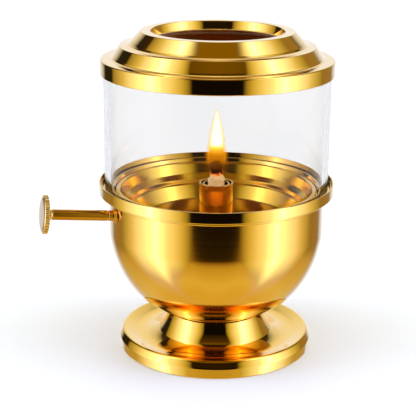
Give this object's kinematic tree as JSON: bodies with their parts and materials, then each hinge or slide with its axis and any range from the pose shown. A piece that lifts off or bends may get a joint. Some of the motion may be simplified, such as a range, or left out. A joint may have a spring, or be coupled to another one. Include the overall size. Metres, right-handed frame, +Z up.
{
  "type": "akhand oil lamp",
  "caption": "Brass oil lamp: saucer foot, round oil bowl, glass chimney in a gallery ring, stepped open lid, and a side knob that winds the wick.",
  "frame": {"origin": "centre of the foot's flat underside, on the lamp's axis", "axes": "+Z up along the lamp's axis; the winding spindle and its knob leave the lamp towards -X; +Y is square to both"},
  "size_m": [0.1103, 0.087, 0.12],
  "materials": {
    "polished_brass": "polished",
    "satin_brass": "fine turned satin",
    "aged_brass": "turned, darkened by heat",
    "chimney_glass": "clear, fire-polished edges",
    "cotton_wick": "twisted cotton, charred tip",
    "spring_steel": "plain",
    "seal_rubber": "matt"
  },
  "bodies": {
    "base": {"foot": "polished_brass", "bowl": "satin_brass", "bowl_screw": "aged_brass", "screw_seal_washer": "seal_rubber", "gallery_ring": "polished_brass", "burner_pan": "satin_brass", "burner_tube": "aged_brass", "wick_sleeve": "aged_brass", "sleeve_nut": "aged_brass", "spindle_bush": "aged_brass"},
    "winder": {"spindle": "aged_brass", "spindle_clip": "spring_steel", "wick_wheel": "aged_brass", "knob": "satin_brass"},
    "wick": {"wick": "cotton_wick"},
    "chimney": {"glass_chimney": "chimney_glass"},
    "lid": {"lid_cap": "polished_brass"}
  },
  "joints": [
    {"name": "winder_turn", "type": "hinge", "parent": "base", "child": "winder", "pos_m": [0, -0.00535, 0.05115], "axis": [-0.9954, 0, 0.0955], "range_deg": [-114, 257]},
    {"name": "wick_slide", "type": "slide", "parent": "base", "child": "wick", "axis": [0, 0, 1], "range_m": [-0.009, 0.004]},
    {"name": "chimney_lift", "type": "slide", "parent": "base", "child": "chimney", "axis": [0, 0, 1], "range_m": [0, 0.07]},
    {"name": "lid_lift", "type": "slide", "parent": "chimney", "child": "lid", "axis": [0, 0, 1], "range_m": [0, 0.06]}
  ],
  "couplings": [
    {"joint": "wick_slide", "follows": "winder_turn", "m_per_rad": -0.002}
  ]
}
